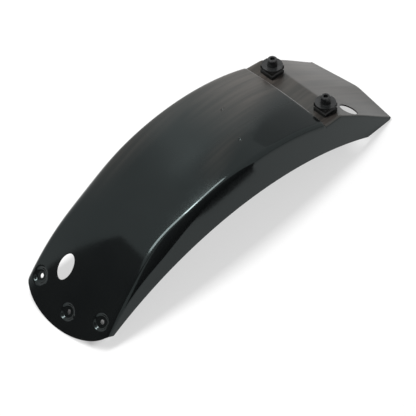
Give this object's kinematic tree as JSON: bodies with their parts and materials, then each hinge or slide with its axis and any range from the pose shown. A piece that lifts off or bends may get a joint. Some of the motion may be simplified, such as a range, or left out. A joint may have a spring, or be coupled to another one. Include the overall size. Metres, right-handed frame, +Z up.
{
  "type": "motorcycle rear fender",
  "caption": "Gloss black pressed-steel rear fender with a bowed crown, flared skirts, a stepped front plate, rubber-mounted screw stacks and a rounded tail with screw dimples.",
  "frame": {"origin": "middle of the bottom face of the part's bounding box, where the fender stands on its front and tail edges", "axes": "+X to the front of the motorcycle, +Y to its left, +Z up, with the fender standing on its two ends"},
  "size_m": [0.5472, 0.1668, 0.1318],
  "materials": {
    "gloss_paint": "gloss black paint",
    "rubber": "moulded black rubber",
    "black_steel": "black oxide with an oily sheen",
    "zinc_steel": "zinc plated"
  },
  "bodies": {
    "root": {"fender_shell": "gloss_paint", "rubber_mount_left": "rubber", "rubber_mount_right": "rubber", "plate_washer_left": "black_steel", "plate_washer_right": "black_steel", "spring_washer_left": "black_steel", "spring_washer_right": "black_steel", "cap_screw_left": "black_steel", "cap_screw_right": "black_steel", "flange_nut_left": "zinc_steel", "flange_nut_right": "zinc_steel"}
  },
  "joints": []
}
